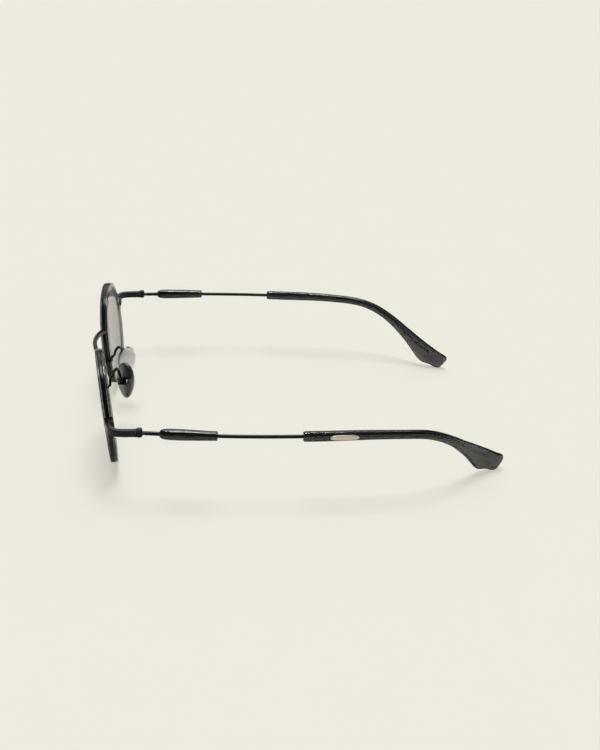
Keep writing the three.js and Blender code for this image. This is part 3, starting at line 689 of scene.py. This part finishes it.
lockShape, lockSlot = slottedScrew(
    lockPlace, zUp, rootTop, lockTop - lock["height"] - fitGap, lockScrew,
)
lockShape, lockSlot = moved(lockShape, rimPlace), moved(lockSlot, rimPlace)
pair("lock_screw", lockShape, blackMetal, "black_metal", cuts=[lockSlot])

hingeScrew = {"radius": 0.55, "head": 0.95, "headHeight": 0.35}
hingeShape, hingeSlot = slottedScrew(
    hingePlace, zUp, -hinge["height"] / 2, hinge["height"] / 2 + fitGap, hingeScrew,
)
pair("hinge_screw", hingeShape, blackMetal, "black_metal", cuts=[hingeSlot])
print("stage: bridge and hinges")

# The temples: wire, sleeve and tip share one route.

temple = {
    "reach": 133.2, "bow": 2.3, "inset": 18.35, "wire": 0.72, "bare": 0.66, "core": 0.58,
    "coreEnd": 126.8, "eyeEdge": 0.08,
}
# Each row: share of the reach, of the bow outwards, of the inset and of the drop.
routeShares = [
    [0, 0, 0, 0], [0.121, 0.58, 0, 0.005], [0.232, 0.92, 0, 0.01], [0.347, 1, 0, 0.012],
    [0.473, 0.8, 0, 0.014], [0.57, 0.48, 0, 0.017], [0.645, 0.1, 0, 0.03], [0.697, 0, 0.035, 0.05],
    [0.743, 0, 0.115, 0.09], [0.788, 0, 0.225, 0.18], [0.832, 0, 0.375, 0.32],
    [0.877, 0, 0.565, 0.509], [0.914, 0, 0.735, 0.669], [0.95, 0, 0.87, 0.797], [1, 0, 1, 1],
]
tip = {
    "start": 54.8, "thick": 3.0, "high": 3.6, "waist": 3.2, "paddle": 8.3, "paddleThick": 2.5,
    "end": 7.1, "flat": 0.35, "power": 2.6, "thinBy": 0.8, "cap": 0.14,
    "front": {"over": 0.012, "smallest": 0.8}, "rear": {"over": 0.03, "smallest": 0.55},
}
# Each row: share of the tip's length, which height, and its shares above and below the route.
tipRows = [
    [0, "high", 0.5, 0.5], [0.11, "high", 0.51, 0.51], [0.25, "high", 0.49, 0.46],
    [0.37, "waist", 0.5, 0.5], [0.5, "waist", 0.525, 0.495], [0.62, "waist", 0.525, 0.595],
    [0.71, "waist", 0.598, 0.797], [0.79, "paddle", 0.299, 0.425], [0.84, "paddle", 0.33, 0.561],
    [0.87, "paddle", 0.326, 0.672], [0.91, "paddle", 0.334, 0.7], [0.96, "end", 0.45, 0.575],
    [1, "end", 0.568, 0.557],
]


def templePath(drop):
    x, y, z = hingePlace
    return Path([
        [
            x + temple["bow"] * out - temple["inset"] * inward,
            y + temple["reach"] * along,
            z - drop * down,
        ]
        for along, out, inward, down in routeShares
    ])


def tipHeights(shares):
    # Hermite steps through the rows, with each slope taken across its two neighbours
    at = np.array([row[0] for row in tipRows], float)
    result = []
    for side in (2, 3):
        value = np.array([tip[row[1]] * row[side] for row in tipRows])
        slope = np.empty_like(value)
        slope[1:-1] = (value[2:] - value[:-2]) / (at[2:] - at[:-2])
        slope[0] = (value[1] - value[0]) / (at[1] - at[0])
        slope[-1] = (value[-1] - value[-2]) / (at[-1] - at[-2])
        k = np.clip(np.searchsorted(at, shares) - 1, 0, len(at) - 2)
        step = at[k + 1] - at[k]
        t = (shares - at[k]) / step
        result.append(
            value[k] * (2 * t ** 3 - 3 * t ** 2 + 1) + slope[k] * step * (t ** 3 - 2 * t ** 2 + t)
            + value[k + 1] * (3 * t ** 2 - 2 * t ** 3) + slope[k + 1] * step * (t ** 3 - t ** 2)
        )
    return result


def opening(shares, over, smallest):
    # a quarter ellipse, from the smallest size up to full size over the first shares
    left = 1 - np.minimum(1, shares / over)
    return smallest + (1 - smallest) * np.sqrt(1 - left ** 2)


def tipShape(path, sides=80):
    # superellipse rings along the path; both ends close over a short rounded length
    start, closing = path.shareAtY(tip["start"]), tip["rear"]["over"]
    shares = np.unique(np.concatenate([
        np.linspace(0, 0.014, 8),
        np.linspace(0.02, 1 - closing, 260),
        1 - closing * np.linspace(0.95, 0, 14) ** 2,
    ]))
    above, below = tipHeights(shares)
    close = opening(1 - shares, **tip["rear"]) * opening(shares, **tip["front"])
    thinned = np.minimum(1, shares / tip["thinBy"])
    half = (tip["thick"] + (tip["paddleThick"] - tip["thick"]) * thinned) / 2
    sections = oval(half * close, above * close, below * close, tip["power"], sides)
    rings = carried(path, start + (1 - start) * shares, sections)
    centre, along = path.at(1.0)
    caps = [
        centre + (rings[-1] - centre) * d + along * tip["cap"] * (1 - d ** 2)
        for d in (0.85, 0.6, 0.3, 0.1)
    ]
    return np.concatenate([rings, caps])


def solvedPath():
    # the drop at which the tip's lowest edge reaches the table, less the flat that it stands on
    drop = hingePlace[2] - tip["end"] / 2
    for _ in range(4):
        drop += tipShape(templePath(drop), 12)[..., 2].min() + tip["flat"]
    return templePath(drop)


temples = ("left_temple", "right_temple")
path = solvedPath()
rings = tipShape(path)
rings[..., 2] = np.maximum(rings[..., 2], 0)  # the foot is flat on the table
rings[..., 1] = np.minimum(rings[..., 1], cadBox[1][1] * 1000 - hingeY)  # within the frame's box
pair("tip", skin(rings), acetate, "smoke_acetate", temples)

sleeve = {
    "start": 6.8, "length": 19.1, "front": 1.88, "rear": 1.58, "bevel": 1.5, "power": 2.3,
}
# Each row: share of the sleeve's length, of the swelling and of the bevel.
sleeveRows = np.array([
    [0, 1, 0.5], [0.04, 1, 0.22], [0.09, 1, 0.06], [0.17, 1, 0], [0.38, 0.98, 0], [0.6, 0.66, 0],
    [0.82, 0.2, 0], [0.985, 0, 0], [1, 0, 0.07],
])


def sleeveShape():
    # superellipse rings whose radius swells towards the front, eased once, and closes at the bevel
    first = path.shareAtY(sleeve["start"])
    last = path.shareAtY(sleeve["start"] + sleeve["length"])
    shares = np.concatenate([
        np.linspace(0, 0.2, 24), np.linspace(0.23, 0.96, 40), np.linspace(0.97, 1, 8),
    ])
    swell = np.interp(shares, sleeveRows[:, 0], sleeveRows[:, 1])
    shrink = np.interp(shares, sleeveRows[:, 0], sleeveRows[:, 2])
    radius = sleeve["rear"] + (sleeve["front"] - sleeve["rear"]) * swell - sleeve["bevel"] * shrink
    radius = np.convolve(np.pad(radius, 1, "edge"), [0.25, 0.5, 0.25], "valid")
    sections = oval(radius, radius, radius, sleeve["power"], 56)
    return skin(carried(path, first + (last - first) * shares, sections))


pair("sleeve", sleeveShape(), acetate, "smoke_acetate", temples)

wireNeck = {"start": 0.7, "flatTo": 1.2, "turn": 1.6, "fineTo": 3.4, "coarseFrom": 3.6}
# Where the wire's radius changes: before the sleeve's end, and before the tip's start.
wireSteps = {"beforeEnd": (0.66, 0.16), "beforeTip": 0.5}


def templeWire():
    # hinge eye, a neck that turns from a flat bar to a round one, and the wire to its core's end
    first, last = path.shareAtY(wireNeck["start"]), path.shareAtY(temple["coreEnd"])
    shares = np.concatenate([
        np.linspace(first, path.shareAtY(wireNeck["fineTo"]), 24),
        np.linspace(path.shareAtY(wireNeck["coarseFrom"]), last, 420),
    ])
    y = path.at(shares)[0][:, 1]
    turned = np.clip((y - wireNeck["flatTo"]) / wireNeck["turn"], 0, 1)
    toRound = turned ** 2 * (3 - 2 * turned)
    end, (early, late) = sleeve["start"] + sleeve["length"], wireSteps["beforeEnd"]
    steps = [end - early, end - late, tip["start"] - wireSteps["beforeTip"], tip["start"]]
    radius = np.interp(y, steps, [temple["wire"], temple["bare"], temple["bare"], temple["core"]])
    thin = hinge["eye"] / 2
    rise = thin + (radius - thin) * toRound
    rings = carried(path, shares, oval(radius, rise, rise, 5 - 3 * toRound, 28))
    eye = pin(hinge["knuckle"], -thin, thin, temple["eyeEdge"], hinge["bore"], centre=hingePlace)
    return merged(skin(rings), eye)


pair("temple_wire", templeWire(), blackMetal, "black_metal", temples)

plaque = {
    "station": 68.9, "long": 10.0, "high": 1.9, "thick": 0.5, "proud": 0.12, "power": 3.0,
    "edge": [[0, 0.07], [0.02, 0.03], [0.07, 0]],
}


def plaqueShape():
    # a superellipse plate across the tip's outer side; its edge's rows are how far in and how deep
    station = path.frames(path.shareAtY(plaque["station"]))
    centre, along, across, rise = (v[0] for v in station)
    turn = np.linspace(0, 2 * np.pi, 96, endpoint=False)[:, None]
    soft = lambda v: np.sign(v) * np.abs(v) ** (2 / plaque["power"])
    outer = tip["thick"] / 2 + plaque["proud"]
    return skin(np.array([
        centre + along * (plaque["long"] / 2 - shy) * soft(np.cos(turn))
        + rise * (plaque["high"] / 2 - shy) * soft(np.sin(turn)) + across * (outer - deep)
        for shy, deep in [[0, plaque["thick"]], *plaque["edge"]]
    ]))


pair("plaque", plaqueShape(), silver, "satin_silver", temples)
print("stage: temples")

# The nose pads, drawn on axes of their own: S across, L up and N out of the cushion's face.

pad = {
    "gapShare": 0.786, "setback": 6.0, "drop": 1.45, "splay": 40, "lean": 11.5, "roll": 15,
    "screwDepth": 0.7,
}
cushion = {
    "high": 13.1, "wide": 8.0, "crown": 1.55, "back": 0.85, "edge": 0.3, "narrowing": 0.34,
    "fullness": 0.9,
}
plate = {
    "high": 13.1, "wide": 8.0, "thick": 0.4, "trayHigh": 13.5, "trayWide": 8.4, "wall": 0.18,
    "lip": 0.75,
}
splay, lean, roll = (math.radians(pad[key]) for key in ("splay", "lean", "roll"))
padN = np.array([
    -math.cos(splay) * math.cos(lean), math.sin(splay) * math.cos(lean), -math.sin(lean),
])
flat = np.array([math.sin(splay), math.cos(splay), 0])
padS = flat * math.cos(roll) - np.cross(padN, flat) * math.sin(roll)
padL = np.cross(padS, padN)
padCentre = np.array([
    (rim["spacing"] / 2 - rim["radius"]) * pad["gapShare"],
    rimCentre[1] + pad["setback"],
    rimCentre[2] - pad["drop"],
])
screwDepth = -plate["thick"] - fitGap - pad["screwDepth"]
pads = ("left_pad", "right_pad")


def inPad(s, l, n):
    across, up = np.multiply.outer(s, padS), np.multiply.outer(l, padL)
    return padCentre + across + up + np.multiply.outer(n, padN)


def eggRing(high, wide, n, sides=80):
    # an ellipse drawn in towards its lower end
    turn = np.linspace(0, 2 * np.pi, sides, endpoint=False)
    up = np.sin(turn)
    narrow = 1 - cushion["narrowing"] * ((1 - up) / 2) ** 2
    return inPad(wide / 2 * np.cos(turn) * narrow, high / 2 * up, n + 0 * turn)


def cushionShape():
    # flat back, rounded edge, short side and an elliptic crown
    high, wide, edge, foot = cushion["high"], cushion["wide"], cushion["edge"], fitGap
    rows = []
    for a in np.linspace(0, math.pi / 2, 7):
        shy = edge * (1 - math.sin(a))
        rows.append((high - shy, wide - shy, foot + edge / 2 * (1 - math.cos(a))))
    for a in np.linspace(0, math.pi / 2 - 0.02, 26):
        shrink, up = math.cos(a) ** cushion["fullness"], cushion["crown"] * math.sin(a)
        rows.append((high * shrink, wide * shrink, foot + cushion["back"] + up))
    return skin(np.array([eggRing(*row) for row in rows]))


pair("nose_pad", cushionShape(), padLook, "pad_silicone", pads, sharp=60)


def plateShape():
    # a stepped plate and a thin wall round the cushion's foot, in rows of how far in and how high
    thick, wall, lip = plate["thick"], plate["wall"], plate["lip"]
    disc = [(0.3, -thick), (0.08, -thick + 0.04), (0, -thick + 0.12), (0, -0.17)]
    tray = [
        (0.24, -0.12), (0.07, -0.07), (0, 0.05), (0, lip - 0.12), (0.05, lip - 0.04), (0.15, lip),
        (2 * wall, lip - 0.03), (2 * wall + 0.04, 0.08),
    ]
    rows = [(plate["high"] - shy, plate["wide"] - shy, n) for shy, n in disc]
    rows += [(plate["trayHigh"] - shy, plate["trayWide"] - shy, n) for shy, n in tray]
    return skin(np.array([eggRing(*row) for row in rows]))


pair("pad_plate", plateShape(), plateMetal, "black_metal", pads)

box = {
    "long": 3.5, "high": 2.6, "wall": 0.75, "floor": 0.4, "mouth": 0.35, "pocket": 0.8,
    "floorEdge": 0.12, "wallEdge": 0.2, "window": 0.65,
}
padScrew = {"radius": 0.32, "head": 0.6, "headHeight": 0.3}
boxTurn = (np.stack([padL, padS, padN], -1), inPad(0.0, 0.0, screwDepth))


def boxShape():
    # a floor and two walls
    long, high, wall = box["long"] / 2, box["high"] / 2, box["wall"]
    bottom = -box["pocket"] - box["floor"]
    floor = block([-high, -long, bottom], [high, long, -box["pocket"]], box["floorEdge"])
    walls = [
        block([-high, a, bottom], [high, b, box["mouth"]], box["wallEdge"])
        for a, b in ((-long, wall - long), (long - wall, long))
    ]
    return moved(merged(floor, *walls), boxTurn)


window = moved(pin(box["window"], -2, 0, 0, sides=32), boxTurn)
pair("pad_box", boxShape(), blackMetal, "black_metal", voxel=0.05, cuts=[window])
padShape, padSlot = slottedScrew(
    boxTurn[1], padS, -box["long"] / 2, box["long"] / 2 + fitGap, padScrew,
)
pair("pad_screw", padShape, steel, "bright_steel", cuts=[padSlot])

arm = {"radius": 0.5, "leg": 3.0, "sway": 2.3, "rise": 6.2}
legShares = [[0, -0.25], [0, 0.6], [0.15, 0.94]]  # of the leg's height, and of the way back
# Shares of the sway, of the way from the leg to the box, and of the rise.
neckShares = [
    [-0.765, 0.423, 0.427], [-0.75, 0.582, 0.608], [-0.86, 0.678, 0.923], [-0.69, 0.849, 1.12],
    [0.5, 1.089, 0.76], [0.3, 1.018, 0.452],
]


def armShape():
    # from the eyewire back round the rim's edge, up, over and down to the box's floor
    stand = wireOuter + fitGap + arm["radius"]
    depth = halfDepth + fitGap + arm["radius"]
    leg = []
    for up, back in legShares:
        turn = math.asin(arm["leg"] * (1 - up) / stand)
        leg.append(inRim([-stand * math.cos(turn), depth * back, -stand * math.sin(turn)]))
    end = inPad(-box["long"] / 4, 0.0, screwDepth - box["pocket"] - box["floor"])
    foot = leg[0]
    neck = [
        [foot[0] + arm["sway"] * a, foot[1] + (end[1] - foot[1]) * b, foot[2] + arm["rise"] * u]
        for a, b, u in neckShares
    ]
    route = Path([*leg, *neck, end])
    return tube(route, np.linspace(0, 1, 130), arm["radius"], np.array([1.0, 0, 0]))


pair("pad_arm", armShape(), blackMetal, "black_metal")
for node in ("left_pad_stem", "right_pad_stem"):
    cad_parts[node]["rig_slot"] = "bright_steel"
print("stage: nose pads")

# The table, the light and the photograph's camera.

paper = {
    "colour": (0.84, 0.822, 0.732), "size": 8.0, "even": 0.6, "shade": 0.985,
    "grain": {"scale": 40, "detail": 2}, "rough": 0.9, "shine": 0.1,
}


def mixed(nodes, links, share, first, second):
    mix = nodes.new("ShaderNodeMixShader")
    links.new(share, mix.inputs["Fac"])
    links.new(first, mix.inputs[1])
    links.new(second, mix.inputs[2])
    return mix.outputs["Shader"]


def floorPiece():
    # for the camera, part of the paper's own shading gives way to its even colour
    half = paper["size"] / 2
    corners = [(-half, -half, 0), (half, -half, 0), (half, half, 0), (-half, half, 0)]
    mesh = bpy.data.meshes.new("floor")
    mesh.from_pydata(corners, [], [(0, 1, 2, 3)])
    floor = bpy.data.objects.new("floor", mesh)
    bpy.context.scene.collection.objects.link(floor)
    material, nodes, links, shader = newMaterial("paper_look")
    shade = [c * paper["shade"] for c in paper["colour"]]
    grain = mottle(nodes, links, **paper["grain"])
    links.new(tinted(nodes, links, grain, shade, paper["colour"]), shader.inputs["Base Color"])
    shader.inputs["Roughness"].default_value = paper["rough"]
    shader.inputs["Specular IOR Level"].default_value = paper["shine"]
    glow = nodes.new("ShaderNodeEmission")
    glow.inputs["Color"].default_value = (*paper["colour"], 1)
    ray = nodes.new("ShaderNodeLightPath")
    share = nodes.new("ShaderNodeMath")
    share.operation = "MULTIPLY"
    share.inputs[1].default_value = paper["even"]
    links.new(ray.outputs["Is Camera Ray"], share.inputs[0])
    surface = mixed(
        nodes, links, share.outputs["Value"], shader.outputs["BSDF"], glow.outputs["Emission"],
    )
    links.new(surface, nodes["Material Output"].inputs["Surface"])
    mesh.materials.append(material)


light = {
    "around": 0.13, "tint": (1.0, 0.998, 0.99),
    "lamp": {"towards": (-0.19, 0.0, 0.982), "from": 0.962, "to": 0.982, "power": 12.5},
    "glow": {"towards": (-0.68, 0.0, 0.733), "from": 0.82, "to": 0.96, "power": 1.5},
}


def patch(nodes, links, place, spot):
    # a soft-edged patch of sky: its strength rises with the cosine of the angle from its middle
    facing = nodes.new("ShaderNodeVectorMath")
    facing.operation = "DOT_PRODUCT"
    facing.inputs[1].default_value = spot["towards"]
    links.new(place.outputs["Generated"], facing.inputs[0])
    ramp = nodes.new("ShaderNodeMapRange")
    ramp.interpolation_type = "SMOOTHSTEP"
    ramp.inputs["From Min"].default_value = spot["from"]
    ramp.inputs["From Max"].default_value = spot["to"]
    ramp.inputs["To Min"].default_value = 0
    ramp.inputs["To Max"].default_value = spot["power"]
    links.new(facing.outputs["Value"], ramp.inputs["Value"])
    return ramp.outputs["Result"]


def shining(nodes, colour):
    background = nodes.new("ShaderNodeBackground")
    background.inputs["Color"].default_value = (*colour, 1)
    return background


def studioWorld():
    # a dim surround, a bright soft lamp overhead and a dim glow beyond; the camera sees the paper
    world = bpy.data.worlds.new("studio")
    bpy.context.scene.world = world
    world.use_nodes = True
    nodes, links = world.node_tree.nodes, world.node_tree.links
    nodes.clear()
    place = nodes.new("ShaderNodeTexCoord")
    lampSum, wholeSum = nodes.new("ShaderNodeMath"), nodes.new("ShaderNodeMath")
    lampSum.operation = wholeSum.operation = "ADD"
    lampSum.inputs[1].default_value = light["around"]
    links.new(patch(nodes, links, place, light["lamp"]), lampSum.inputs[0])
    links.new(patch(nodes, links, place, light["glow"]), wholeSum.inputs[0])
    links.new(lampSum.outputs["Value"], wholeSum.inputs[1])
    sky, behind = shining(nodes, light["tint"]), shining(nodes, paper["colour"])
    links.new(wholeSum.outputs["Value"], sky.inputs["Strength"])
    behind.inputs["Strength"].default_value = 1
    ray = nodes.new("ShaderNodeLightPath")
    output = nodes.new("ShaderNodeOutputWorld")
    seen = mixed(
        nodes, links, ray.outputs["Is Camera Ray"],
        sky.outputs["Background"], behind.outputs["Background"],
    )
    links.new(seen, output.inputs["Surface"])


view = {
    "place": (371.775, 2.5695, 200.602), "yaw": -0.15922, "pitch": 0.45331, "roll": 0.07598,
    "focal": 1060.12, "pixelsHigh": 750, "sensor": 36, "nearest": 0.01,
}


def photoCamera():
    # the fitted camera: it looks along -X turned by yaw, down by pitch, and leans by roll
    yaw, pitch, roll = view["yaw"], view["pitch"], view["roll"]
    forward = -np.array([
        math.cos(pitch) * math.cos(yaw), math.cos(pitch) * math.sin(yaw), math.sin(pitch),
    ])
    level = np.cross(forward, zUp)
    level /= np.linalg.norm(level)
    rise = np.cross(level, forward)
    right = level * math.cos(roll) + rise * math.sin(roll)
    up = rise * math.cos(roll) - level * math.sin(roll)
    data = bpy.data.cameras.new("photo")
    data.sensor_fit = "VERTICAL"
    data.sensor_height = view["sensor"]
    data.lens = view["focal"] / view["pixelsHigh"] * view["sensor"]
    data.clip_start = view["nearest"]
    camera = bpy.data.objects.new("photo", data)
    bpy.context.scene.collection.objects.link(camera)
    turn = Matrix(np.column_stack([right, up, -forward]).tolist()).to_4x4()
    turn.translation = Vector(toMetres(view["place"]))
    camera.matrix_world = turn
    bpy.context.scene.camera = camera


floorPiece()
studioWorld()
photoCamera()
bpy.context.scene.view_settings.view_transform = "Standard"
print("stage: floor, light and camera")
